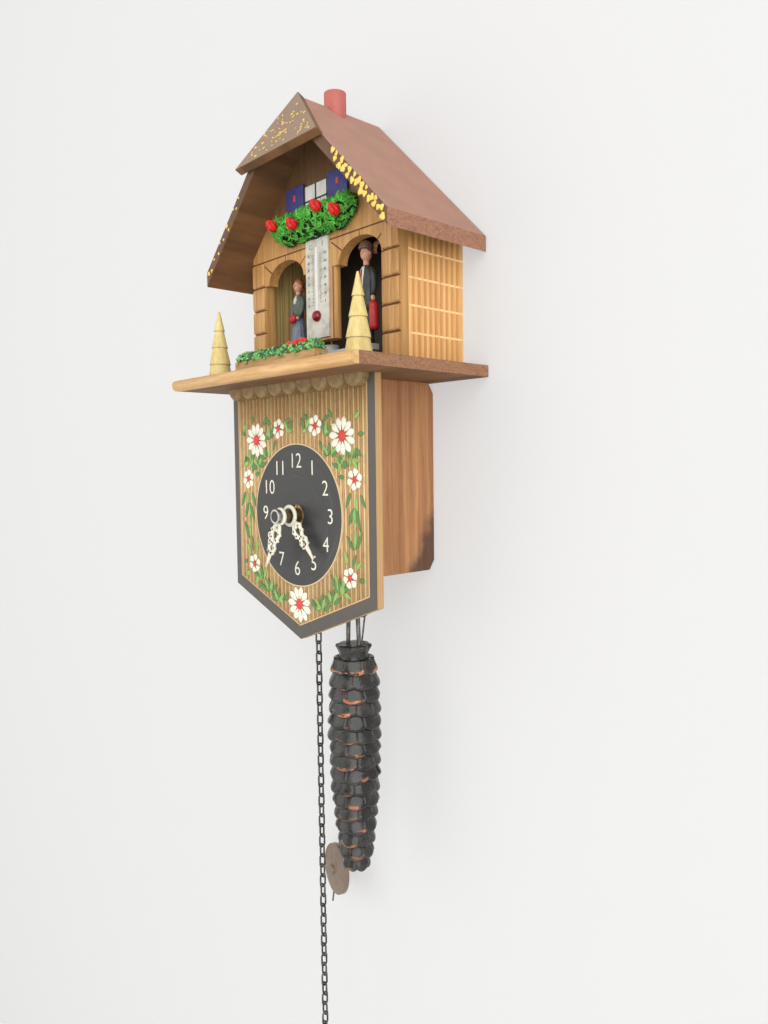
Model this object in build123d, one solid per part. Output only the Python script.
from build123d import *
import math
import os

# A weather-house wall clock: a gabled house with two figures on a swinging beam stands on a platform
# above a clock case, and one chain with a cone weight drives the time train inside.
# Millimetres. X is the viewer's right, the front faces -Y, the wall is the plane Y = 0 and Z is up.
# Levels below are heights above the platform's top face. The finished model's origin is the centre
# of the hanging hole on the wall plane.

# Hanging
HANG_RISE = 62.0
HANG_HOLE_RADIUS = 3.0

# Platform
PLATFORM_WIDTH = 132.0
PLATFORM_DEPTH = 72.4
PLATFORM_THICK = 5.0
MOULDING_DEPTH = 4.0
MOULDING_ROUND_SHARE = 0.95
BEAD_COUNT = 9
BEAD_RADIUS = 5.3
BEAD_GAP = 0.1
BEAD_DEPTH = 5.2
BEAD_ROUND = 1.9

# Case
CASE_WIDTH = 67.4
CASE_DEPTH = 48.1
CASE_HEIGHT = 84.4
CASE_WALL = 5.0
CASE_BACK_THICK = 3.0
CASE_BOTTOM_THICK = 4.0
CASE_CORNER_IN = 3.0
CASE_CORNER_UP = 4.5

# Front panel and dial
PANEL_WIDTH = 102.6
PANEL_THICK = 3.5
PANEL_SIDE = 93.7
PANEL_POINT = 20.1
PANEL_HOLE_RADIUS = 5.0
DIAL_DROP = 63.2
DIAL_RADIUS = 31.7
DIAL_THICK = 1.2

# House
HOUSE_INSET = 14.2
HOUSE_DEPTH = 38.1
FACADE_THICK = 5.0
HOUSE_WALL = 4.0
HOUSE_BACK_THICK = 3.0
POST_WIDTH = 22.0
POST_GAP = 14.6
POST_ROUND = 2.3
DOOR_WIDTH = 30.5
DOOR_SPRING = 45.6
DOOR_RISE = 9.2
DOOR_CORBEL = 3.0
BLOCK_LINE = 0.7
BLOCK_LINE_DEPTH = 0.6
BLOCK_FIRST = 12.2
BLOCK_COURSE = 11.1
BLOCK_COURSES = 4
LINTEL_LINE_RISE = 2.5
VOUSSOIR_LENGTH = 9.0
VOUSSOIR_LEANS = (-55, 0, 55)
FLUTE_COUNT = 9
FLUTE_RADIUS = 1.5
FLUTE_DEPTH = 0.5

# Roof
ROOF_HALF_WIDTH = 64.9
ROOF_EAVE_TOP = 53.5
ROOF_SLOPE = 45.0
ROOF_THICK = 4.7
ROOF_DEPTH = 56.7
HIP_START = 44.3
HIP_LEAN = 26.0
HIP_LENGTH = 31.4
HIP_HALF_WIDTH = 29.8
HIP_THICK = 4.0
CHIMNEY_RADIUS = 5.0
CHIMNEY_RISE = 6.9
CHIMNEY_FROM_WALL = 27.0

# Trim on the facade and the platform
THERMOMETER_WIDTH = 16.0
THERMOMETER_HEIGHT = 44.0
THERMOMETER_FOOT = 15.5
THERMOMETER_THICK = 1.0
TUBE_RADIUS = 0.9
TUBE_TOP_MARGIN = 4.0
BULB_RISE = 9.8
BULB_RADIUS = 2.5
WINDOW_WIDTH = 16.4
WINDOW_HEIGHT = 13.5
WINDOW_FOOT = 70.0
WINDOW_THICK = 0.8
SHUTTER_WIDTH = 13.0
SHUTTER_HEIGHT = 15.5
SHUTTER_THICK = 1.2
SHUTTER_GAP = 0.6
GARLAND_WIDTH = 62.0
GARLAND_FOOT = 57.0
GARLAND_TUFTS = 6
GARLAND_TUFT_RADIUS = 7.6
GARLAND_TUFT_LIFT = 1.8
GARLAND_CLEAR = 0.2
GARLAND_STEM = 19.2
GARLAND_FLOWERS = ((-23.0, 2.1), (-7.6, -0.4), (10.1, 3.6), (22.1, -1.4))
FLOWER_RADIUS = 2.6
TREE_HEIGHT = 32.4
TREE_TIERS = ((0.0, 5.8), (7.2, 5.0), (15.2, 3.8), (23.1, 2.55))
TREE_TIP_RADIUS = 0.4
TREE_NOTCH = 0.5
TREE_SPREAD = 50.5
TREE_FROM_WALL = 59.0
PLANTER_WIDTH = 58.0
PLANTER_ASIDE = 3.5
PLANTER_DEPTH = 7.0
PLANTER_HEIGHT = 5.0
PLANTER_FROM_WALL = 63.0
PLANTER_TUFTS = 9
PLANTER_TUFT_RADIUS = 4.2
PLANTER_FLOWERS = (9.6, 16.2, 22.7)

# Weather beam and figures
BEAM_FROM_WALL = 31.3
BEAM_ARM = 27.0
BEAM_WIDTH = 5.0
BEAM_THICK = 2.5
BEAM_TOP = 10.0
BEAM_HUB_RADIUS = 3.5
BEAM_HUB_TOP = 13.0
BEAM_TURN = 4.5
GUT_RADIUS = 0.4
GUT_CLEAR = 0.1
GUT_BLOCK_WIDTH = 10.0
GUT_BLOCK_HEIGHT = 8.0
GUT_BLOCK_FOOT = 58.0
GUT_BLOCK_BEHIND = 2.5
MAN_HEIGHT = 43.6
WOMAN_HEIGHT = 39.0

# Movement
MOTION_ROOM = 6.1
PLATE_THICK = 1.5
PLATE_SPACING = 22.0
PLATE_TOP = -13.0
PLATE_FOOT = -82.0
PLATE_SIDE_CLEAR = 1.2
PILLAR_RADIUS = 2.0
PILLAR_FROM_CHAIN = 4.7
PILLAR_FROM_EDGE = 2.5
PILLAR_INSET = 4.0
PILLAR_END_RADIUS = 1.2
NUT_RADIUS = 2.6
NUT_THICK = 1.6
SCREW_RADIUS = 1.0
SCREW_HEAD_RADIUS = 2.2
SCREW_HEAD_THICK = 1.2
SCREW_LENGTH = 7.0
SCREW_INSET = 9.0
BATTEN_CLEAR = 0.7
BATTEN_DEPTH = 7.0
BATTEN_MARGIN = 3.0
RUNNING_CLEAR = 0.05
END_PLAY = 0.2
PIVOT_RADIUS = 0.8
WHEEL_THICK = 1.4
WHEEL_WINDOW_SHARE = 0.8
GREAT_SPOKES = 5
SMALL_SPOKES = 4
GREAT_HUB_RADIUS = 5.0
ARBOR_RADIUS = 1.5
SMALL_ARBOR_RADIUS = 0.9

# Time train: teeth and tooth sizes
GREAT_TEETH = 72
SECOND_LEAVES = 6
GREAT_MODULE = 0.5
SECOND_TEETH = 66
ESCAPE_LEAVES = 6
SECOND_MODULE = 0.4
ESCAPE_TEETH = 30
ESCAPE_RADIUS = 8.0
ESCAPE_TOOTH = 1.6
ESCAPE_TOOTH_LEAN = 0.15
ESCAPE_RIM = 1.0
PALLET_SPAN = 90.0
PALLET_GAP = 0.9
ANCHOR_RISE = 10.9
ANCHOR_HUB_RADIUS = 2.0
ANCHOR_ARM = 2.2
GREAT_FROM_BACK = 6.5
ESCAPE_FROM_BACK = 4.7
SECOND_FROM_FRONT = 1.9
PINION_OVERLAP = 1.4

# Motion work
CANNON_LEAVES = 12
MINUTE_TEETH = 36
MOTION_MODULE = 0.5
MINUTE_LEAVES = 10
HOUR_TEETH = 40
STUD_RADIUS = 1.2
CANNON_RADIUS = 2.3
HOUR_PIPE_RADIUS = 3.3
MOTION_GAP = 0.6
MOTION_WHEEL_THICK = 1.2

# Hands, set to twenty-five minutes to five
MINUTE_HAND_LENGTH = 26.2
HOUR_HAND_LENGTH = 24.4
HAND_THICK = 1.4
HAND_BOSS_RADIUS = 4.4
HAND_STEM_SHARE = 0.055
HAND_STEM_END = 0.8
HAND_TIP_START = 0.70
HAND_TIP_WIDEST = 0.76
HAND_TIP_SPREAD = 1.6
LOBE_SIDE_OUT = 1.1
LOBE_SIDE_DROP = 0.05
LOBE_SIDE_SHARE = 0.55
LOBE_HOLE_SHARE = 0.45
HOUR_LOBES = ((0.34, 0.12), (0.58, 0.10))
MINUTE_LOBES = ((0.36, 0.10), (0.60, 0.09))
HOUR_HAND_GAP = 3.0
MINUTE_HAND_GAP = 3.4
HAND_NUT_RADIUS = 3.2
HAND_NUT_THICK = 2.6
MINUTES_PAST_FOUR = 34.5

# Chain and sprocket
LINK_PITCH = 5.0
LINK_WIRE = 0.9
LINK_INNER_WIDTH = 1.9
LINK_PLAY = 0.25
SPROCKET_TEETH = 8
SPROCKET_FROM_FRONT = 8.8
SPROCKET_THICK = 1.2
SPROCKET_ROOT_DROP = 2.5
SPROCKET_TOOTH_BASE = 3.0
SPROCKET_TOOTH_TIP = 1.4
SPROCKET_TOOTH_PROUD = 0.7
SPROCKET_HUB_RADIUS = 4.0
SPROCKET_HUB_LENGTH = 5.4
RATCHET_TEETH = 12
RATCHET_RADIUS = 6.2
RATCHET_TOOTH = 1.0
RATCHET_TOOTH_LEAN = 0.9
CLICK_GAP = 0.3
CLICK_WIDTH = 1.0
CLICK_POST_RADIUS = 1.2
CLICK_POST_OUT = 11.0
CLICK_TIP_ANGLES = (62.0, 66.0)
CLICK_TIP_SHARE = 1.05
LOADED_LINKS = 7
STUB_LINKS = 3
FREE_LINKS = 49
HOOK_WIRE = 1.3
HOOK_INNER_LENGTH = 7.0
HOOK_INNER_WIDTH = 3.0
HOOK_MOUTH = 2.2
HOOK_MOUTH_RISE = 1.2
HANG_CLEAR = 0.1
RING_RADIUS = 5.5
RING_WIRE = 1.4

# Weight
LOOP_WIRE = 2.0
LOOP_HEIGHT = 15.4
LOOP_TOP_RADIUS = 3.2
LOOP_FOOT_SPREAD = 4.0
LOOP_ROOT = 5.0
CONE_LENGTH = 107.0
CONE_RADIUS = 12.2
CONE_COLLAR_RADIUS = 7.9
CONE_COLLAR_LIP = 1.0
CONE_NECK_RADIUS = 6.5
CONE_COLLAR = 3.4
CONE_NECK = 6.2
CONE_ROWS = 12
CONE_ROW_DEPTH = 1.0
CONE_ROW_SHOULDER = 0.12
CONE_ROW_CREST = 0.7
CONE_PROFILE = ((0.0, 0.55), (0.13, 0.90), (0.29, 1.0), (0.56, 0.905), (0.66, 0.865),
                (0.77, 0.75), (0.91, 0.62), (1.0, 0.33))

# Pendulum
PENDULUM_BEHIND = 6.0
LEADER_RADIUS = 0.6
LEADER_LENGTH = 92.6
LEADER_HUB_RADIUS = 2.2
LEADER_HUB_THICK = 3.0
LEADER_EYE_HEIGHT = 4.0
LEADER_EYE_BAR = 2.0
LEADER_EYE_WIRE = 1.0
LEADER_LEAN = 2.5
ROD_RADIUS = 0.45
ROD_HOOK_RADIUS = 1.35
ROD_HOOK_END = 217.0
ROD_LENGTH = 157.0
ROD_LEAN = 10.4
BOB_RADIUS = 12.5
BOB_BACK = 1.4
BOB_RIM = 1.0
BOB_CROWN = 2.2
BOB_SHOULDER_RADIUS = 7.5
BOB_SHOULDER = 2.0
BOB_BOSS_RADIUS = 2.4
BOB_BOSS = 3.4
BOB_FROM_HOOK = 138.0
BOB_TWIST = -14.6

# Slots in the case bottom
CHAIN_SLOT = 9.0
PENDULUM_SLOT_WIDTH = 22.0
PENDULUM_SLOT_DEPTH = 7.0

# Levels and depths worked out from the sizes above
SLOPE = math.radians(ROOF_SLOPE)
RIDGE_TOP = ROOF_EAVE_TOP + ROOF_HALF_WIDTH * math.tan(SLOPE)
ROOF_PLUMB = ROOF_THICK / math.cos(SLOPE)
HOUSE_WIDTH = PLATFORM_WIDTH - 2 * HOUSE_INSET
PANEL_TOP = -PLATFORM_THICK
CASE_FOOT = PANEL_TOP - CASE_HEIGHT
PANEL_BACK = -CASE_DEPTH
PANEL_FRONT = PANEL_BACK - PANEL_THICK
DIAL_FRONT = PANEL_FRONT - DIAL_THICK
FACADE_FRONT = -HOUSE_DEPTH
FACADE_BACK = FACADE_FRONT + FACADE_THICK
DOOR_CENTRE = (POST_WIDTH + DOOR_WIDTH) / 2
AXIS_Z = -DIAL_DROP
BACK_PLATE_REAR = PANEL_BACK + MOTION_ROOM + 2 * PLATE_THICK + PLATE_SPACING
PENDULUM_Y = BACK_PLATE_REAR + PENDULUM_BEHIND
BACK_PLATE_FRONT = BACK_PLATE_REAR - PLATE_THICK
FRONT_PLATE_REAR = BACK_PLATE_FRONT - PLATE_SPACING
FRONT_PLATE_FRONT = FRONT_PLATE_REAR - PLATE_THICK
SECOND_Z = AXIS_Z + (GREAT_TEETH + SECOND_LEAVES) * GREAT_MODULE / 2
ESCAPE_Z = SECOND_Z + (SECOND_TEETH + ESCAPE_LEAVES) * SECOND_MODULE / 2
ANCHOR_Z = ESCAPE_Z + ANCHOR_RISE
GREAT_REAR = BACK_PLATE_FRONT - GREAT_FROM_BACK
ESCAPE_REAR = BACK_PLATE_FRONT - ESCAPE_FROM_BACK
SECOND_REAR = FRONT_PLATE_REAR + SECOND_FROM_FRONT + WHEEL_THICK
CHAIN_Y = FRONT_PLATE_REAR + SPROCKET_FROM_FRONT
CHAIN_RADIUS = LINK_PITCH / (2 * math.sin(math.pi / (2 * SPROCKET_TEETH)))
LINK_INNER = LINK_PITCH + LINK_PLAY
PILLAR_SPREAD = CHAIN_RADIUS + PILLAR_FROM_CHAIN
BACK_PLATE_WIDTH = 2 * (PILLAR_SPREAD + PILLAR_FROM_EDGE)
CASE_INNER_HALF = CASE_WIDTH / 2 - CASE_WALL
FRONT_PLATE_WIDTH = 2 * (CASE_INNER_HALF - PLATE_SIDE_CLEAR)
BATTEN_WIDTH = CASE_INNER_HALF - PILLAR_SPREAD - PILLAR_RADIUS - BATTEN_CLEAR
MOTION_DISTANCE = (CANNON_LEAVES + MINUTE_TEETH) * MOTION_MODULE / 2
HOUR_MODULE = 2 * MOTION_DISTANCE / (MINUTE_LEAVES + HOUR_TEETH)
HOUR_BORE = CANNON_RADIUS + RUNNING_CLEAR
MINUTE_WHEEL_REAR = FRONT_PLATE_FRONT - MOTION_GAP
HOUR_WHEEL_REAR = MINUTE_WHEEL_REAR - MOTION_WHEEL_THICK - MOTION_GAP
HOUR_HAND_REAR = DIAL_FRONT - HOUR_HAND_GAP
MINUTE_HAND_REAR = HOUR_HAND_REAR - HAND_THICK - MINUTE_HAND_GAP
NUT_REAR = MINUTE_HAND_REAR - HAND_THICK
HOOK_TOP = AXIS_Z - LOADED_LINKS * LINK_PITCH - LINK_INNER / 2 + HOOK_WIRE / 2 + HANG_CLEAR
HOOK_FOOT = HOOK_TOP - HOOK_INNER_LENGTH - HOOK_WIRE
LOOP_APEX = HOOK_FOOT + HOOK_WIRE / 2 + LOOP_WIRE / 2 + HANG_CLEAR
CONE_TOP = LOOP_APEX - LOOP_HEIGHT
WHEEL_TOOTH = (0.8, 1.15, 0.40, 0.16, 0.55)
LEAF_TOOTH = (0.5, 1.3, 0.32, 0.20, 0.36)
FAR = 4 * PLATFORM_WIDTH


def roof_under(x):
    """Height of the roof's underside at a distance x from the middle."""
    return RIDGE_TOP - ROOF_PLUMB - abs(x) * math.tan(SLOPE)


def block(x0, x1, y0, y1, z0, z1):
    """A box between two corners."""
    return Pos((x0 + x1) / 2, (y0 + y1) / 2, (z0 + z1) / 2) * Box(abs(x1 - x0), abs(y1 - y0), abs(z1 - z0))


def faced(shape, y, x=0.0, z=0.0):
    """Stand a shape drawn on XY up to face the front, its base at depth y, growing towards -Y."""
    return Pos(x, y, z) * Rot(90, 0, 0) * shape


def disc(radius, thick, y, x=0.0, z=0.0, bore=0.0):
    """A disc or ring that faces the front, its back at depth y."""
    face = Circle(radius)
    if bore > 0:
        face = face - Circle(bore)
    return faced(extrude(face, thick), y, x, z)


def outline(points):
    """A filled face from a closed list of corners on XY."""
    return make_face(Polyline(*points, close=True))


def slab(points, thick, y):
    """A plate with corners given as (x, z), its back at depth y, growing towards the front."""
    return faced(extrude(outline(points), thick), y)


def save(name, *solids):
    """Write one node, moved so that the hanging hole is the origin."""
    placed = [Pos(0, 0, -HANG_RISE) * solid for solid in solids]
    shape = placed[0] if len(placed) == 1 else Compound(placed)
    export_step(shape, f"parts/{name}.step")


def gear_face(teeth, module, tooth, phase):
    """A toothed face with one tooth centred at the angle phase, in degrees."""
    add, ded, pitch_share, tip_share, root_share = tooth
    radius = teeth * module / 2
    step = 2 * math.pi / teeth
    profile = (
        (radius - ded * module, -root_share),
        (radius, -pitch_share),
        (radius + add * module, -tip_share),
        (radius + add * module, tip_share),
        (radius, pitch_share),
        (radius - ded * module, root_share),
    )
    points = []
    for tooth_number in range(teeth):
        centre = math.radians(phase) + tooth_number * step
        for reach, share in profile:
            angle = centre + share * step / 2
            points.append((reach * math.cos(angle), reach * math.sin(angle)))
    return outline(points)


def saw_face(teeth, radius, depth, lean):
    """A face with saw teeth: steep on one side, sloping on the other."""
    step = 2 * math.pi / teeth
    points = []
    for tooth_number in range(teeth):
        start = tooth_number * step
        points.append(((radius - depth) * math.cos(start), (radius - depth) * math.sin(start)))
        tip = start + lean * step
        points.append((radius * math.cos(tip), radius * math.sin(tip)))
    return outline(points)


def crossed(face, rim, hub, spokes):
    """Lighten a wheel face with one round window between each pair of spokes."""
    window = (rim - hub) / 2 * WHEEL_WINDOW_SHARE
    middle = (rim + hub) / 2
    for number in range(spokes):
        angle = 2 * math.pi * (number + 0.5) / spokes
        face = face - Pos(middle * math.cos(angle), middle * math.sin(angle)) * Circle(window)
    return face


def make_platform():
    """The board, its round-nosed front moulding and the row of half-round beads below it."""
    half = PLATFORM_WIDTH / 2
    save("platform", block(-half, half, -PLATFORM_DEPTH, 0, -PLATFORM_THICK, 0))
    nose = Rectangle(MOULDING_DEPTH, PLATFORM_THICK, align=(Align.MIN, Align.CENTER))
    nose = fillet(nose.vertices().sort_by(Axis.X)[-2:], PLATFORM_THICK / 2 * MOULDING_ROUND_SHARE)
    strip = extrude(nose, half, both=True)
    front = Plane(origin=(0, -PLATFORM_DEPTH, -PLATFORM_THICK / 2), x_dir=(0, -1, 0), z_dir=(1, 0, 0))
    save("platform_moulding", front * strip)
    half_round = Circle(BEAD_RADIUS) & Pos(0, -BEAD_RADIUS) * Rectangle(3 * BEAD_RADIUS, 2 * BEAD_RADIUS)
    bead = extrude(half_round, BEAD_DEPTH)
    bead = fillet(bead.edges().group_by(Axis.Z)[-1].sort_by(SortBy.LENGTH)[-1], BEAD_ROUND)
    pitch = 2 * BEAD_RADIUS + BEAD_GAP
    first = -pitch * (BEAD_COUNT - 1) / 2
    beads = [faced(bead, PANEL_FRONT, first + number * pitch, PANEL_TOP) for number in range(BEAD_COUNT)]
    save("bead_row", *beads)


def make_case():
    """The clock case: two sides, a slotted bottom, a back and the five-sided front panel."""
    side = outline([
        (-CASE_DEPTH, PANEL_TOP),
        (-CASE_CORNER_IN, PANEL_TOP),
        (0, PANEL_TOP - CASE_CORNER_UP),
        (0, CASE_FOOT + CASE_CORNER_UP),
        (-CASE_CORNER_IN, CASE_FOOT),
        (-CASE_DEPTH, CASE_FOOT),
    ])
    upright = Plane(origin=(0, 0, 0), x_dir=(0, 1, 0), z_dir=(1, 0, 0))
    board = upright * extrude(side, CASE_WALL)
    inner = CASE_INNER_HALF
    save("case_side_right", Pos(inner, 0, 0) * board)
    save("case_side_left", Pos(-inner - CASE_WALL, 0, 0) * board)
    save("case_back", block(-inner, inner, -CASE_BACK_THICK, 0, CASE_FOOT, PANEL_TOP))
    top = CASE_FOOT + CASE_BOTTOM_THICK
    bottom = block(-inner, inner, PANEL_BACK, -CASE_BACK_THICK, CASE_FOOT, top)
    for x in (-CHAIN_RADIUS, CHAIN_RADIUS):
        bottom = bottom - Pos(x, CHAIN_Y, CASE_FOOT) * Box(CHAIN_SLOT, CHAIN_SLOT, 4 * CASE_BOTTOM_THICK)
    swing = Box(PENDULUM_SLOT_WIDTH, PENDULUM_SLOT_DEPTH, 4 * CASE_BOTTOM_THICK)
    save("case_bottom", bottom - Pos(0, PENDULUM_Y, CASE_FOOT) * swing)
    wide = PANEL_WIDTH / 2
    low = PANEL_TOP - PANEL_SIDE
    panel = slab([(-wide, PANEL_TOP), (-wide, low), (0, low - PANEL_POINT), (wide, low), (wide, PANEL_TOP)],
                 PANEL_THICK, PANEL_BACK)
    save("front_panel", panel - disc(PANEL_HOLE_RADIUS, PANEL_THICK, PANEL_BACK, 0, AXIS_Z))
    save("dial", disc(DIAL_RADIUS, DIAL_THICK, PANEL_FRONT, 0, AXIS_Z, PANEL_HOLE_RADIUS))


def doorway(side):
    """The face of one doorway on the side given as -1 or 1; its arch starts on a corbel at the left."""
    arch = Pos(DOOR_CORBEL / 2, DOOR_SPRING) * Ellipse((DOOR_WIDTH - DOOR_CORBEL) / 2, DOOR_RISE)
    arch = arch - Pos(0, DOOR_SPRING - DOOR_RISE) * Rectangle(2 * DOOR_WIDTH, 2 * DOOR_RISE)
    opening = Pos(0, DOOR_SPRING / 2) * Rectangle(DOOR_WIDTH, DOOR_SPRING)
    return Pos(side * DOOR_CENTRE, 0) * (arch + opening)


def block_lines(side):
    """The faces of the joint lines round one doorway, as between blocks of stone."""
    outer = HOUSE_WIDTH / 2
    jamb = POST_WIDTH / 2 + DOOR_WIDTH
    lines = []
    for course in range(BLOCK_COURSES):
        level = BLOCK_FIRST + course * BLOCK_COURSE
        lines.append(Pos(side * (jamb + outer) / 2, level) * Rectangle(outer - jamb, BLOCK_LINE))
    lintel = DOOR_SPRING + DOOR_RISE + LINTEL_LINE_RISE
    lines.append(Pos(side * (outer + THERMOMETER_WIDTH / 2) / 2, lintel)
                 * Rectangle(outer - THERMOMETER_WIDTH / 2, BLOCK_LINE))
    for lean in VOUSSOIR_LEANS:
        angle = math.radians(lean)
        foot = Pos(side * DOOR_CENTRE + DOOR_CORBEL / 2 + (DOOR_WIDTH - DOOR_CORBEL) / 2 * math.sin(angle),
                   DOOR_SPRING + DOOR_RISE * math.cos(angle))
        length = (lintel - DOOR_SPRING - DOOR_RISE * math.cos(angle)) / math.cos(angle)
        length = min(length, VOUSSOIR_LENGTH)
        lines.append(foot * Rot(0, 0, -lean) * Pos(0, length / 2) * Rectangle(BLOCK_LINE, length))
    return lines


def make_house():
    """The facade, the two fluted side walls and the back board that hangs on the wall."""
    half = HOUSE_WIDTH / 2
    gable = [(-half, 0), (half, 0), (half, roof_under(half)), (0, roof_under(0)), (-half, roof_under(half))]
    facade = slab(gable, FACADE_THICK, FACADE_BACK)
    for side in (-1, 1):
        facade = facade - faced(extrude(doorway(side), FACADE_THICK), FACADE_BACK)
    facade = facade - block(-POST_WIDTH / 2, POST_WIDTH / 2, FACADE_FRONT, FACADE_BACK, 0, DOOR_SPRING)
    post = extrude(RectangleRounded(POST_WIDTH, FACADE_THICK, POST_ROUND), DOOR_SPRING - POST_GAP)
    facade = facade + Pos(0, (FACADE_FRONT + FACADE_BACK) / 2, POST_GAP) * post
    groove_rear = FACADE_FRONT + BLOCK_LINE_DEPTH
    for side in (-1, 1):
        for line in block_lines(side):
            facade = facade - faced(extrude(line, BLOCK_LINE_DEPTH), groove_rear)
    save("house_facade", facade)

    inner = half - HOUSE_WALL
    wall_face = [(inner, 0), (half, 0), (half, roof_under(half)), (inner, roof_under(inner))]
    wall = slab(wall_face, -FACADE_BACK, 0)
    pitch = -FACADE_BACK / (FLUTE_COUNT + 1)
    for number in range(FLUTE_COUNT):
        flute = Cylinder(FLUTE_RADIUS, FAR)
        wall = wall - Pos(half + FLUTE_RADIUS - FLUTE_DEPTH, -(number + 1) * pitch, 0) * flute
    for course in range(BLOCK_COURSES):
        level = BLOCK_FIRST + course * BLOCK_COURSE
        kerf = block(half - BLOCK_LINE_DEPTH, half, FACADE_BACK, 0, level - BLOCK_LINE / 2, level + BLOCK_LINE / 2)
        wall = wall - kerf
    save("house_wall_right", wall)
    save("house_wall_left", mirror(wall, Plane.YZ))

    back = slab([(-inner, 0), (inner, 0), (inner, roof_under(inner)), (0, roof_under(0)),
                 (-inner, roof_under(inner))], HOUSE_BACK_THICK, 0)
    save("house_back", back - disc(HANG_HOLE_RADIUS, HOUSE_BACK_THICK, 0, 0, HANG_RISE))


def make_roof():
    """Two sloping boards, the leaning hip board over the front gable and the dowel chimney."""
    lean = math.radians(HIP_LEAN)
    hip_plane = Plane(origin=(0, -HIP_START, RIDGE_TOP), x_dir=(1, 0, 0),
                      z_dir=(0, -math.cos(lean), math.sin(lean)))
    ahead = hip_plane * Box(FAR, FAR, FAR, align=(Align.CENTER, Align.CENTER, Align.MIN))
    board = slab([(0, RIDGE_TOP), (ROOF_HALF_WIDTH, ROOF_EAVE_TOP), (ROOF_HALF_WIDTH, ROOF_EAVE_TOP - ROOF_PLUMB),
                  (0, RIDGE_TOP - ROOF_PLUMB)], ROOF_DEPTH, 0)
    board = board - ahead
    save("roof_right", board)
    save("roof_left", mirror(board, Plane.YZ))
    hip = outline([(0, 0), (-HIP_HALF_WIDTH, -HIP_LENGTH), (HIP_HALF_WIDTH, -HIP_LENGTH)])
    save("roof_hip", hip_plane * extrude(hip, HIP_THICK))
    stack = Pos(0, -CHIMNEY_FROM_WALL, RIDGE_TOP) * Cylinder(CHIMNEY_RADIUS, 2 * CHIMNEY_RISE)
    saddle = slab([(0, RIDGE_TOP), (ROOF_HALF_WIDTH, ROOF_EAVE_TOP), (-ROOF_HALF_WIDTH, ROOF_EAVE_TOP)],
                  ROOF_DEPTH, 0)
    save("chimney", stack - saddle)


def tuft_places(width, count, radius, level):
    """Places, as x and z, of a level row of tufts that fills a width."""
    first = radius - width / 2
    pitch = -2 * first / (count - 1)
    return [(first + number * pitch, level) for number in range(count)]


def tufts(places, radius):
    """Rounded foliage tufts that run into each other."""
    form = Pos(places[0][0], 0, places[0][1]) * Sphere(radius)
    for x, z in places[1:]:
        form = form + Pos(x, 0, z) * Sphere(radius)
    return form


def tuft_front(places, radius, x, z):
    """How far the tufts reach out at a spot on them."""
    return max(math.sqrt(max(0.0, radius**2 - (x - place_x)**2 - (z - place_z)**2)) for place_x, place_z in places)


def make_facade_trim():
    """Thermometer, attic window, shutters and the garland below them."""
    plate_top = THERMOMETER_FOOT + THERMOMETER_HEIGHT
    half = THERMOMETER_WIDTH / 2
    save("thermometer_plate", block(-half, half, FACADE_FRONT - THERMOMETER_THICK, FACADE_FRONT,
                                    THERMOMETER_FOOT, plate_top))
    plate_front = FACADE_FRONT - THERMOMETER_THICK
    bulb_z = THERMOMETER_FOOT + BULB_RISE
    length = plate_top - TUBE_TOP_MARGIN - bulb_z
    glass = Pos(0, plate_front, bulb_z) * Cylinder(TUBE_RADIUS, length, align=(Align.CENTER, Align.CENTER, Align.MIN))
    glass = glass + Pos(0, plate_front, bulb_z) * Sphere(BULB_RADIUS)
    save("thermometer_tube", glass - block(-FAR, FAR, plate_front, FAR, -FAR, FAR))

    half = WINDOW_WIDTH / 2
    save("attic_window", block(-half, half, FACADE_FRONT - WINDOW_THICK, FACADE_FRONT,
                               WINDOW_FOOT, WINDOW_FOOT + WINDOW_HEIGHT))
    near = half + SHUTTER_GAP
    shutter = block(near, near + SHUTTER_WIDTH, FACADE_FRONT - SHUTTER_THICK, FACADE_FRONT,
                    WINDOW_FOOT, WINDOW_FOOT + SHUTTER_HEIGHT)
    save("shutters", shutter, mirror(shutter, Plane.YZ))

    garland_rear = FACADE_FRONT - max(THERMOMETER_THICK, WINDOW_THICK, SHUTTER_THICK) - GARLAND_CLEAR
    middle = GARLAND_FOOT + GARLAND_TUFT_LIFT + GARLAND_TUFT_RADIUS
    pitch = (GARLAND_WIDTH - 2 * GARLAND_TUFT_RADIUS) / (GARLAND_TUFTS - 1)
    places = tuft_places(GARLAND_WIDTH, GARLAND_TUFTS, GARLAND_TUFT_RADIUS, GARLAND_TUFT_LIFT)
    places += tuft_places(GARLAND_WIDTH - pitch, GARLAND_TUFTS - 1, GARLAND_TUFT_RADIUS, -GARLAND_TUFT_LIFT)
    foliage = Pos(0, garland_rear, middle) * tufts(places, GARLAND_TUFT_RADIUS)
    foliage = foliage - block(-FAR, FAR, garland_rear, FAR, -FAR, FAR)
    stem = block(-GARLAND_STEM / 2, GARLAND_STEM / 2, garland_rear, FACADE_FRONT, plate_top, WINDOW_FOOT)
    save("garland_foliage", foliage + stem)
    blooms = []
    for x, rise in GARLAND_FLOWERS:
        out = tuft_front(places, GARLAND_TUFT_RADIUS, x, rise)
        blooms.append(Pos(x, garland_rear - out, middle + rise) * Sphere(FLOWER_RADIUS) - foliage)
    save("garland_flowers", *blooms)


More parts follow.
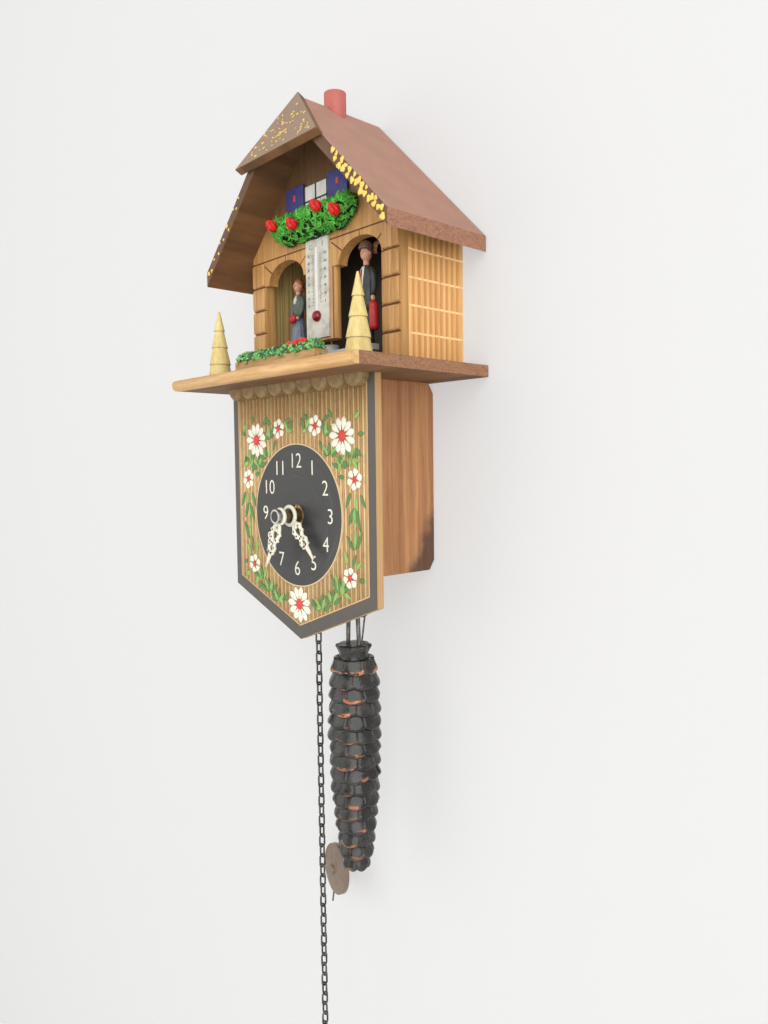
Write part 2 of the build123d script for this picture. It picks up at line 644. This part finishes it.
def make_platform_trim():
    """The two turned trees and the planter between them."""
    profile = [(0, 0)]
    heads = [(foot, radius - TREE_NOTCH) for foot, radius in TREE_TIERS[1:]] + [(TREE_HEIGHT, TREE_TIP_RADIUS)]
    for (foot, low), (head, high) in zip(TREE_TIERS, heads):
        profile.append((low, foot))
        profile.append((high, head))
    profile.append((0, TREE_HEIGHT))
    turned = revolve(Plane.XZ * outline(profile), Axis.Z)
    trees = [Pos(side * TREE_SPREAD, -TREE_FROM_WALL, 0) * turned for side in (-1, 1)]
    save("trees", *trees)

    half = PLANTER_WIDTH / 2
    front = -PLANTER_FROM_WALL - PLANTER_DEPTH / 2
    rear = front + PLANTER_DEPTH
    save("planter_box", block(PLANTER_ASIDE - half, PLANTER_ASIDE + half, front, rear, 0, PLANTER_HEIGHT))
    seat = Pos(PLANTER_ASIDE, -PLANTER_FROM_WALL, PLANTER_HEIGHT)
    greens = seat * tufts(tuft_places(PLANTER_WIDTH, PLANTER_TUFTS, PLANTER_TUFT_RADIUS, 0), PLANTER_TUFT_RADIUS)
    greens = greens - block(-FAR, FAR, -FAR, FAR, -FAR, PLANTER_HEIGHT)
    save("planter_foliage", greens)
    blooms = []
    for x in PLANTER_FLOWERS:
        bloom = Pos(x, -PLANTER_FROM_WALL, PLANTER_HEIGHT + PLANTER_TUFT_RADIUS) * Sphere(FLOWER_RADIUS)
        blooms.append(bloom - greens)
    save("planter_flowers", *blooms)


def man_shape():
    """A standing man in a jacket and hat, feet at the origin, facing the front."""
    unit = MAN_HEIGHT / 100
    legs = Pos(-4.2 * unit, 0, 20 * unit) * Cylinder(3.8 * unit, 40 * unit)
    legs = legs + Pos(4.2 * unit, 0, 20 * unit) * Cylinder(3.8 * unit, 40 * unit)
    base = Pos(0, 0, 1.5 * unit) * Cylinder(10 * unit, 3 * unit)
    jacket = revolve(Plane.XZ * outline([(0, 30 * unit), (10.5 * unit, 30 * unit), (9 * unit, 52 * unit),
                                         (9.6 * unit, 70 * unit), (3 * unit, 76 * unit), (3 * unit, 82 * unit),
                                         (0, 82 * unit)]), Axis.Z)
    head = Pos(0, 0, 84 * unit) * Sphere(7 * unit)
    hat = Pos(0, 0, 91 * unit) * Cylinder(8.6 * unit, 1.6 * unit)
    hat = hat + Pos(0, 0, 95.5 * unit) * Cone(5.8 * unit, 4.4 * unit, 9 * unit)
    figure = base + legs + jacket + head + hat
    for side in (-1, 1):
        arm = Pos(side * 9.5 * unit, 0, 56 * unit) * Rot(0, -side * 10, 0) * Cylinder(2.8 * unit, 30 * unit)
        figure = figure + arm
    return figure


def woman_shape():
    """A standing woman in a long dress, feet at the origin, facing the front."""
    unit = WOMAN_HEIGHT / 100
    dress = revolve(Plane.XZ * outline([(0, 0), (13 * unit, 0), (12 * unit, 20 * unit), (6.5 * unit, 52 * unit),
                                        (8.6 * unit, 72 * unit), (3 * unit, 78 * unit), (3 * unit, 86 * unit),
                                        (0, 86 * unit)]), Axis.Z)
    head = Pos(0, 0, 88 * unit) * Sphere(7.6 * unit)
    hair = Pos(0, 2 * unit, 92 * unit) * Sphere(8 * unit)
    basket = Pos(0, -8 * unit, 46 * unit) * Cylinder(6 * unit, 9 * unit)
    figure = dress + head + hair + basket
    for side in (-1, 1):
        arm = Pos(side * 8.5 * unit, -1.5 * unit, 58 * unit) * Rot(0, -side * 8, 0) * Cylinder(2.6 * unit, 28 * unit)
        figure = figure + arm
    return figure


def make_weather_beam():
    """The swinging beam with its figures, and the gut strand and block that carry it."""
    reach = BEAM_ARM + BEAM_WIDTH
    beam = block(-reach, reach, -BEAM_WIDTH / 2, BEAM_WIDTH / 2, BEAM_TOP - BEAM_THICK, BEAM_TOP)
    hub_height = BEAM_HUB_TOP - BEAM_TOP + BEAM_THICK
    hub = Cylinder(BEAM_HUB_RADIUS, hub_height, align=(Align.CENTER, Align.CENTER, Align.MIN))
    beam = beam + Pos(0, 0, BEAM_TOP - BEAM_THICK) * hub
    pose = Pos(0, -BEAM_FROM_WALL, 0) * Rot(0, 0, -BEAM_TURN)
    save("weather_beam", pose * beam)
    save("figure_man", pose * Pos(BEAM_ARM, 0, BEAM_TOP) * man_shape())
    save("figure_woman", pose * Pos(-BEAM_ARM, 0, BEAM_TOP) * woman_shape())
    block_top = GUT_BLOCK_FOOT + GUT_BLOCK_HEIGHT
    gut = Cylinder(GUT_RADIUS, block_top - BEAM_HUB_TOP, align=(Align.CENTER, Align.CENTER, Align.MIN))
    save("gut_strand", Pos(0, -BEAM_FROM_WALL, BEAM_HUB_TOP) * gut)
    half = GUT_BLOCK_WIDTH / 2
    holder = block(-half, half, FACADE_BACK, -BEAM_FROM_WALL + GUT_BLOCK_BEHIND, GUT_BLOCK_FOOT, block_top)
    save("gut_block", holder - Pos(0, -BEAM_FROM_WALL, GUT_BLOCK_FOOT) * Cylinder(GUT_RADIUS + GUT_CLEAR, FAR))


def arbor(z):
    """A thin arbor with a pivot at each end, between the plates."""
    length = PLATE_SPACING - 2 * END_PLAY
    shaft = disc(SMALL_ARBOR_RADIUS, length, BACK_PLATE_FRONT - END_PLAY, 0, z)
    return shaft + disc(PIVOT_RADIUS, PLATE_SPACING + 2 * PLATE_THICK, BACK_PLATE_REAR, 0, z)


def make_plates():
    """The two plates, their pillars and fastenings, and the battens that carry the movement."""
    height = PLATE_TOP - PLATE_FOOT
    middle = (PLATE_TOP + PLATE_FOOT) / 2
    pillar_spots = [(x, z) for x in (-PILLAR_SPREAD, PILLAR_SPREAD)
                    for z in (PLATE_TOP - PILLAR_INSET, PLATE_FOOT + PILLAR_INSET)]
    batten_centre = CASE_INNER_HALF - BATTEN_WIDTH / 2
    screw_spots = [(x, z) for x in (-batten_centre, batten_centre)
                   for z in (PLATE_TOP - SCREW_INSET, PLATE_FOOT + SCREW_INSET)]
    pivot_hole = PIVOT_RADIUS + RUNNING_CLEAR

    back = Pos(0, middle) * Rectangle(BACK_PLATE_WIDTH, height)
    front = Pos(0, middle) * Rectangle(FRONT_PLATE_WIDTH, height)
    for level in (AXIS_Z, SECOND_Z, ESCAPE_Z, ANCHOR_Z):
        back = back - Pos(0, level) * Circle(pivot_hole)
        front = front - Pos(0, level) * Circle(pivot_hole if level != AXIS_Z else ARBOR_RADIUS + RUNNING_CLEAR)
    for x, z in pillar_spots:
        back = back - Pos(x, z) * Circle(PILLAR_END_RADIUS)
        front = front - Pos(x, z) * Circle(PILLAR_END_RADIUS)
    for x, z in screw_spots:
        front = front - Pos(x, z) * Circle(SCREW_RADIUS)
    save("plate_back", faced(extrude(back, PLATE_THICK), BACK_PLATE_REAR))
    stud_end = HOUR_WHEEL_REAR - MOTION_WHEEL_THICK - MOTION_GAP
    stud = disc(STUD_RADIUS, FRONT_PLATE_REAR - stud_end, FRONT_PLATE_REAR, MOTION_DISTANCE, AXIS_Z)
    save("plate_front", faced(extrude(front, PLATE_THICK), FRONT_PLATE_REAR) + stud)

    pillars = []
    fastenings = []
    for x, z in pillar_spots:
        body = disc(PILLAR_RADIUS, PLATE_SPACING, BACK_PLATE_FRONT, x, z)
        ends = disc(PILLAR_END_RADIUS, PLATE_SPACING + 2 * PLATE_THICK + NUT_THICK, BACK_PLATE_REAR, x, z)
        pillars.append(body + ends)
        nut = RegularPolygon(NUT_RADIUS, 6) - Circle(PILLAR_END_RADIUS)
        fastenings.append(faced(extrude(nut, NUT_THICK), FRONT_PLATE_FRONT, x, z))
    battens = []
    for x, z in screw_spots:
        head = disc(SCREW_HEAD_RADIUS, SCREW_HEAD_THICK, FRONT_PLATE_FRONT, x, z)
        shank = disc(SCREW_RADIUS, SCREW_LENGTH, FRONT_PLATE_FRONT + SCREW_LENGTH, x, z)
        fastenings.append(head + shank)
    for side in (-1, 1):
        x = side * batten_centre
        batten = block(x - BATTEN_WIDTH / 2, x + BATTEN_WIDTH / 2, FRONT_PLATE_REAR, FRONT_PLATE_REAR + BATTEN_DEPTH,
                       PLATE_FOOT + BATTEN_MARGIN, PLATE_TOP - BATTEN_MARGIN)
        for screw_x, z in screw_spots:
            batten = batten - disc(SCREW_RADIUS, SCREW_LENGTH, FRONT_PLATE_FRONT + SCREW_LENGTH, screw_x, z)
        battens.append(batten)
    save("plate_pillars", *pillars)
    save("movement_screws", *fastenings)
    save("movement_battens", *battens)


def make_train():
    """Great wheel on the centre arbor, second wheel, escape wheel, pallet anchor and click spring."""
    great_radius = GREAT_TEETH * GREAT_MODULE / 2
    great = gear_face(GREAT_TEETH, GREAT_MODULE, WHEEL_TOOTH, 90)
    great = crossed(great, great_radius - 2 * GREAT_MODULE, GREAT_HUB_RADIUS, GREAT_SPOKES)
    great = great - Circle(ARBOR_RADIUS)
    save("great_wheel", faced(extrude(great, WHEEL_THICK), GREAT_REAR, 0, AXIS_Z))
    arbor_end = NUT_REAR
    rear = BACK_PLATE_FRONT - END_PLAY
    centre = disc(ARBOR_RADIUS, rear - arbor_end, rear, 0, AXIS_Z)
    save("centre_arbor", centre + disc(PIVOT_RADIUS, PLATE_THICK + END_PLAY, BACK_PLATE_REAR, 0, AXIS_Z))

    second_radius = SECOND_TEETH * SECOND_MODULE / 2
    second = gear_face(SECOND_TEETH, SECOND_MODULE, WHEEL_TOOTH, 90)
    second = crossed(second, second_radius - 2 * SECOND_MODULE, 3 * SMALL_ARBOR_RADIUS, SMALL_SPOKES)
    leaves = gear_face(SECOND_LEAVES, GREAT_MODULE, LEAF_TOOTH, -90 + 180 / SECOND_LEAVES)
    pinion = faced(extrude(leaves, WHEEL_THICK + 2 * PINION_OVERLAP), GREAT_REAR + PINION_OVERLAP, 0, SECOND_Z)
    shaft = arbor(SECOND_Z) + pinion
    save("second_wheel", shaft + faced(extrude(second, WHEEL_THICK), SECOND_REAR, 0, SECOND_Z))

    escape = saw_face(ESCAPE_TEETH, ESCAPE_RADIUS, ESCAPE_TOOTH, ESCAPE_TOOTH_LEAN)
    escape = crossed(escape, ESCAPE_RADIUS - ESCAPE_TOOTH - ESCAPE_RIM, 2 * SMALL_ARBOR_RADIUS, SMALL_SPOKES)
    leaves = gear_face(ESCAPE_LEAVES, SECOND_MODULE, LEAF_TOOTH, -90 + 180 / ESCAPE_LEAVES)
    reach = SECOND_FROM_FRONT - END_PLAY
    pinion = faced(extrude(leaves, WHEEL_THICK + 2 * reach), SECOND_REAR + reach, 0, ESCAPE_Z)
    shaft = arbor(ESCAPE_Z) + pinion
    save("escape_wheel", shaft + faced(extrude(escape, WHEEL_THICK), ESCAPE_REAR, 0, ESCAPE_Z))

    reach = ESCAPE_RADIUS + PALLET_GAP
    half_span = math.radians(PALLET_SPAN / 2)
    foot_x = reach * math.sin(half_span)
    foot_z = reach * math.cos(half_span) - ANCHOR_RISE
    yoke = outline([(0, ANCHOR_ARM / 2), (foot_x + ANCHOR_ARM / 2, foot_z + ANCHOR_ARM), (foot_x, foot_z),
                    (foot_x - ANCHOR_ARM / 3, foot_z + ANCHOR_ARM), (0, -ANCHOR_ARM / 2),
                    (ANCHOR_ARM / 3 - foot_x, foot_z + ANCHOR_ARM), (-foot_x, foot_z),
                    (-foot_x - ANCHOR_ARM / 2, foot_z + ANCHOR_ARM)])
    yoke = extrude(yoke + Circle(ANCHOR_HUB_RADIUS), WHEEL_THICK)
    lean = Rot(0, 0, -LEADER_LEAN)
    spindle = arbor(ANCHOR_Z)
    tail_end = PENDULUM_Y + LEADER_HUB_THICK / 2
    tail = disc(PIVOT_RADIUS, tail_end - BACK_PLATE_FRONT, tail_end, 0, ANCHOR_Z)
    save("pallet_anchor", faced(lean * yoke, ESCAPE_REAR, 0, ANCHOR_Z) + spindle + tail)

    ratchet_rear = GREAT_REAR - WHEEL_THICK
    post = disc(CLICK_POST_RADIUS, WHEEL_THICK, ratchet_rear, CLICK_POST_OUT, AXIS_Z)
    reach = (RATCHET_RADIUS + CLICK_GAP) * CLICK_TIP_SHARE
    turns = [math.radians(angle) for angle in CLICK_TIP_ANGLES]
    tip = [(reach * math.cos(turn), reach * math.sin(turn)) for turn in turns]
    blade = outline([(CLICK_POST_OUT, -CLICK_WIDTH / 2), (CLICK_POST_OUT, CLICK_WIDTH / 2), *tip])
    save("click_spring", post + faced(extrude(blade, WHEEL_THICK), ratchet_rear, 0, AXIS_Z))


def make_sprocket():
    """The chain sprocket with its ratchet, loose on the centre arbor."""
    root = CHAIN_RADIUS - SPROCKET_ROOT_DROP
    tip = CHAIN_RADIUS + SPROCKET_TOOTH_PROUD
    wheel = Circle(root)
    tooth = outline([(root - 1, -SPROCKET_TOOTH_BASE / 2), (tip, -SPROCKET_TOOTH_TIP / 2),
                     (tip, SPROCKET_TOOTH_TIP / 2), (root - 1, SPROCKET_TOOTH_BASE / 2)])
    for number in range(SPROCKET_TEETH):
        wheel = wheel + Rot(0, 0, number * 360 / SPROCKET_TEETH) * tooth
    solid = faced(extrude(wheel, SPROCKET_THICK), CHAIN_Y + SPROCKET_THICK / 2, 0, AXIS_Z)
    hub_front = CHAIN_Y - SPROCKET_HUB_LENGTH / 2
    ratchet_rear = GREAT_REAR - WHEEL_THICK - END_PLAY
    solid = solid + disc(SPROCKET_HUB_RADIUS, ratchet_rear - hub_front, ratchet_rear, 0, AXIS_Z)
    ratchet = saw_face(RATCHET_TEETH, RATCHET_RADIUS, RATCHET_TOOTH, RATCHET_TOOTH_LEAN)
    solid = solid + faced(extrude(ratchet, WHEEL_THICK), ratchet_rear, 0, AXIS_Z)
    bore = disc(ARBOR_RADIUS + RUNNING_CLEAR, FAR, FAR / 2, 0, AXIS_Z)
    save("chain_sprocket", solid - bore)


def oval_link(inner_length, inner_width, wire):
    """An oval wire link on the XZ plane, long way up."""
    path = SlotCenterToCenter(inner_length - inner_width, inner_width + wire).wire()
    section = Plane(origin=path @ 0, z_dir=path % 0) * Circle(wire / 2)
    flat = sweep(section, path=path)
    return Rot(90, 0, 0) * Rot(0, 0, 90) * flat


def strand(side, first, last, link):
    """Links hanging from the sprocket's side, numbered down from its axis; odd ones lie edge on."""
    links = []
    for number in range(first, last + 1):
        turn = Rot(0, 0, 90) if number % 2 == 0 else Rot(0, 0, 0)
        links.append(Pos(side * CHAIN_RADIUS, CHAIN_Y, AXIS_Z - number * LINK_PITCH) * turn * link)
    return links


def make_chain():
    """The chain: over the sprocket, the loaded strand, the free strand and the ring at its end."""
    link = oval_link(LINK_INNER, LINK_INNER_WIDTH, LINK_WIRE)
    arc = []
    for number in range(SPROCKET_TEETH + 1):
        angle = 180 * number / SPROCKET_TEETH
        turn = Rot(0, 0, 90) if number % 2 == 0 else Rot(0, 0, 0)
        arc.append(Pos(0, CHAIN_Y, AXIS_Z) * Rot(0, -angle, 0) * Pos(CHAIN_RADIUS, 0, 0) * turn * link)
    save("chain_on_sprocket", *arc, *strand(-1, 1, STUB_LINKS, link))
    save("loaded_chain", *strand(1, 1, LOADED_LINKS, link))
    last = STUB_LINKS + FREE_LINKS
    save("free_chain", *strand(-1, STUB_LINKS + 1, last, link))
    ring_top = AXIS_Z - last * LINK_PITCH - LINK_INNER / 2 + RING_WIRE / 2 + HANG_CLEAR
    ring = Rot(90, 0, 0) * Torus(RING_RADIUS, RING_WIRE / 2)
    save("chain_ring", Pos(-CHAIN_RADIUS, CHAIN_Y, ring_top - RING_RADIUS) * ring)
    hook = Rot(0, 0, 90) * oval_link(HOOK_INNER_LENGTH, HOOK_INNER_WIDTH, HOOK_WIRE)
    mouth = Pos(0, HOOK_INNER_WIDTH, HOOK_MOUTH_RISE) * Box(FAR, HOOK_INNER_WIDTH, HOOK_MOUTH)
    save("chain_hook", Pos(CHAIN_RADIUS, CHAIN_Y, (HOOK_TOP + HOOK_FOOT) / 2) * (hook - mouth))


def cone_radius(drop):
    """The cone's radius at a distance below its top, from shares of its length and of its largest radius."""
    share = drop / CONE_LENGTH
    for (before, low), (after, high) in zip(CONE_PROFILE, CONE_PROFILE[1:]):
        if share <= after:
            return CONE_RADIUS * (low + (high - low) * (share - before) / (after - before))
    return CONE_RADIUS * CONE_PROFILE[-1][1]


def make_weight():
    """The cast cone and the wire loop set in its collar."""
    crown = LOOP_APEX - LOOP_TOP_RADIUS
    foot = CONE_TOP - LOOP_ROOT
    right = Line((LOOP_FOOT_SPREAD, foot), (LOOP_TOP_RADIUS, crown))
    over = ThreePointArc((LOOP_TOP_RADIUS, crown), (0, LOOP_APEX), (-LOOP_TOP_RADIUS, crown))
    left = Line((-LOOP_TOP_RADIUS, crown), (-LOOP_FOOT_SPREAD, foot))
    path = Wire([right, over, left])
    bent = sweep(Plane(origin=path @ 0, z_dir=path % 0) * Circle(LOOP_WIRE / 2), path=path,
                 transition=Transition.ROUND)
    loop = Pos(CHAIN_RADIUS, CHAIN_Y, 0) * Rot(90, 0, 0) * bent
    save("weight_loop", loop)

    body = CONE_LENGTH - CONE_NECK
    row = body / CONE_ROWS
    profile = [(0, 0), (CONE_COLLAR_RADIUS - CONE_COLLAR_LIP, 0), (CONE_COLLAR_RADIUS, -CONE_COLLAR / 3),
               (CONE_NECK_RADIUS, -CONE_COLLAR), (CONE_NECK_RADIUS, -CONE_NECK)]
    for number in range(CONE_ROWS):
        top = CONE_NECK + number * row
        radius = cone_radius(top + CONE_ROW_CREST * row)
        profile.append((radius - CONE_ROW_DEPTH, -top - CONE_ROW_SHOULDER * row))
        profile.append((radius, -top - CONE_ROW_CREST * row))
        profile.append((radius - CONE_ROW_DEPTH, -top - row))
    profile.append((0, -CONE_LENGTH))
    cone = revolve(Plane.XZ * outline(profile), Axis.Z)
    save("weight_cone", Pos(CHAIN_RADIUS, CHAIN_Y, CONE_TOP) * cone - loop)


def make_motion_work():
    """Cannon pinion, minute wheel and hour wheel, between the front plate and the panel."""
    cannon_front = NUT_REAR - HAND_NUT_THICK
    leaves = gear_face(CANNON_LEAVES, MOTION_MODULE, LEAF_TOOTH, 0)
    cannon = faced(extrude(leaves, MOTION_WHEEL_THICK), MINUTE_WHEEL_REAR, 0, AXIS_Z)
    cannon = cannon + disc(CANNON_RADIUS, MINUTE_WHEEL_REAR - cannon_front, MINUTE_WHEEL_REAR, 0, AXIS_Z)
    arbor_room = disc(ARBOR_RADIUS + RUNNING_CLEAR, MINUTE_WHEEL_REAR - NUT_REAR, MINUTE_WHEEL_REAR, 0, AXIS_Z)
    save("cannon_pinion", cannon - arbor_room)
    minute = gear_face(MINUTE_TEETH, MOTION_MODULE, WHEEL_TOOTH, 180 + 180 / MINUTE_TEETH)
    minute = faced(extrude(minute, MOTION_WHEEL_THICK), MINUTE_WHEEL_REAR, MOTION_DISTANCE, AXIS_Z)
    leaves = gear_face(MINUTE_LEAVES, HOUR_MODULE, LEAF_TOOTH, 180)
    leaf_length = MOTION_WHEEL_THICK + 2 * MOTION_GAP
    minute = minute + faced(extrude(leaves, leaf_length), MINUTE_WHEEL_REAR - MOTION_WHEEL_THICK,
                            MOTION_DISTANCE, AXIS_Z)
    stud_hole = disc(STUD_RADIUS + RUNNING_CLEAR, FAR, FAR / 2, MOTION_DISTANCE, AXIS_Z)
    save("minute_wheel", minute - stud_hole)
    hour = gear_face(HOUR_TEETH, HOUR_MODULE, WHEEL_TOOTH, 180 / HOUR_TEETH)
    hour = faced(extrude(hour, MOTION_WHEEL_THICK), HOUR_WHEEL_REAR, 0, AXIS_Z)
    pipe_length = HOUR_WHEEL_REAR - HOUR_HAND_REAR + HAND_THICK
    hour = hour + disc(HOUR_PIPE_RADIUS, pipe_length, HOUR_WHEEL_REAR, 0, AXIS_Z)
    save("hour_wheel", hour - disc(HOUR_BORE, FAR, FAR / 2, 0, AXIS_Z))


def hand_face(length, bore, lobes):
    """A carved hand that points up: a round boss, pierced lobes and a leaf-shaped tip."""
    stem = length * HAND_STEM_SHARE
    stem_end = length * HAND_STEM_END
    face = Circle(HAND_BOSS_RADIUS) + outline([(-stem, 0), (stem, 0), (stem / 2, stem_end), (-stem / 2, stem_end)])
    holes = Circle(bore)
    for place, share in lobes:
        middle, radius = length * place, length * share
        face = face + Pos(0, middle) * Circle(radius)
        for side in (-1, 1):
            aside = Pos(side * radius * LOBE_SIDE_OUT, middle - length * LOBE_SIDE_DROP)
            face = face + aside * Circle(radius * LOBE_SIDE_SHARE)
        holes = holes + Pos(0, middle) * Circle(radius * LOBE_HOLE_SHARE)
    widest, spread = length * HAND_TIP_WIDEST, stem * HAND_TIP_SPREAD
    face = face + outline([(-spread, widest), (0, length * HAND_TIP_START), (spread, widest), (0, length)])
    return face - holes


def make_hands():
    """The hour hand on its pipe, the minute hand on the cannon and the nut that holds it."""
    hour_angle = 30 * (4 + MINUTES_PAST_FOUR / 60)
    minute_angle = 6 * MINUTES_PAST_FOUR
    hour = hand_face(HOUR_HAND_LENGTH, HOUR_PIPE_RADIUS, HOUR_LOBES)
    save("hour_hand", faced(Rot(0, 0, -hour_angle) * extrude(hour, HAND_THICK), HOUR_HAND_REAR, 0, AXIS_Z))
    minute = hand_face(MINUTE_HAND_LENGTH, CANNON_RADIUS, MINUTE_LOBES)
    save("minute_hand", faced(Rot(0, 0, -minute_angle) * extrude(minute, HAND_THICK), MINUTE_HAND_REAR, 0, AXIS_Z))
    nut = Circle(HAND_NUT_RADIUS) - Circle(CANNON_RADIUS)
    save("hand_nut", faced(extrude(nut, HAND_NUT_THICK), NUT_REAR, 0, AXIS_Z))


def make_pendulum():
    """The leader wire on the anchor arbor, the hooked rod and the round bob."""
    hub = disc(LEADER_HUB_RADIUS, LEADER_HUB_THICK, PENDULUM_Y + LEADER_HUB_THICK / 2)
    wire = Pos(0, PENDULUM_Y, -LEADER_LENGTH / 2) * Cylinder(LEADER_RADIUS, LEADER_LENGTH)
    eye_inner = LEADER_EYE_HEIGHT - LEADER_EYE_WIRE
    eye = Rot(0, 90, 0) * Rot(90, 0, 0) * oval_link(eye_inner + LEADER_EYE_BAR, eye_inner, LEADER_EYE_WIRE)
    leader = hub + wire + Pos(0, PENDULUM_Y, -LEADER_LENGTH - LEADER_EYE_HEIGHT / 2) * eye
    leader = leader - disc(PIVOT_RADIUS, FAR, FAR / 2)
    hang = Pos(0, 0, ANCHOR_Z) * Rot(0, LEADER_LEAN, 0)
    save("pendulum_leader", hang * leader)

    pin_drop = LEADER_LENGTH + LEADER_EYE_HEIGHT
    lean = math.radians(LEADER_LEAN)
    pin = Pos(-pin_drop * math.sin(lean), PENDULUM_Y, ANCHOR_Z - pin_drop * math.cos(lean))
    tilt = pin * Rot(0, ROD_LEAN, 0)
    start = (ROD_HOOK_RADIUS, 0)
    angle = math.radians(ROD_HOOK_END)
    end = (ROD_HOOK_RADIUS * math.cos(angle), ROD_HOOK_RADIUS * math.sin(angle))
    bend = ThreePointArc(end, (0, ROD_HOOK_RADIUS), start)
    drop = Line(start, (ROD_HOOK_RADIUS, -ROD_LENGTH))
    path = Wire([bend, drop])
    wire = sweep(Plane(origin=path @ 0, z_dir=path % 0) * Circle(ROD_RADIUS), path=path)
    save("pendulum_rod", tilt * Rot(90, 0, 0) * wire)
    profile = outline([(0, -BOB_BACK), (BOB_RADIUS, -BOB_BACK), (BOB_RADIUS, BOB_RIM),
                       (BOB_SHOULDER_RADIUS, BOB_SHOULDER), (BOB_BOSS_RADIUS, BOB_CROWN), (BOB_BOSS_RADIUS, BOB_BOSS),
                       (0, BOB_BOSS)])
    turned = Rot(90, 0, 0) * revolve(Plane.XZ * profile, Axis.Z)
    bore = Cylinder(ROD_RADIUS + RUNNING_CLEAR, FAR)
    bob = Rot(0, 0, BOB_TWIST) * (turned - bore)
    save("pendulum_bob", tilt * Pos(ROD_HOOK_RADIUS, 0, -BOB_FROM_HOOK) * bob)


os.makedirs("parts", exist_ok=True)
make_platform()
make_case()
make_house()
make_roof()
make_facade_trim()
make_platform_trim()
make_weather_beam()
make_plates()
make_train()
make_sprocket()
make_chain()
make_weight()
make_motion_work()
make_hands()
make_pendulum()
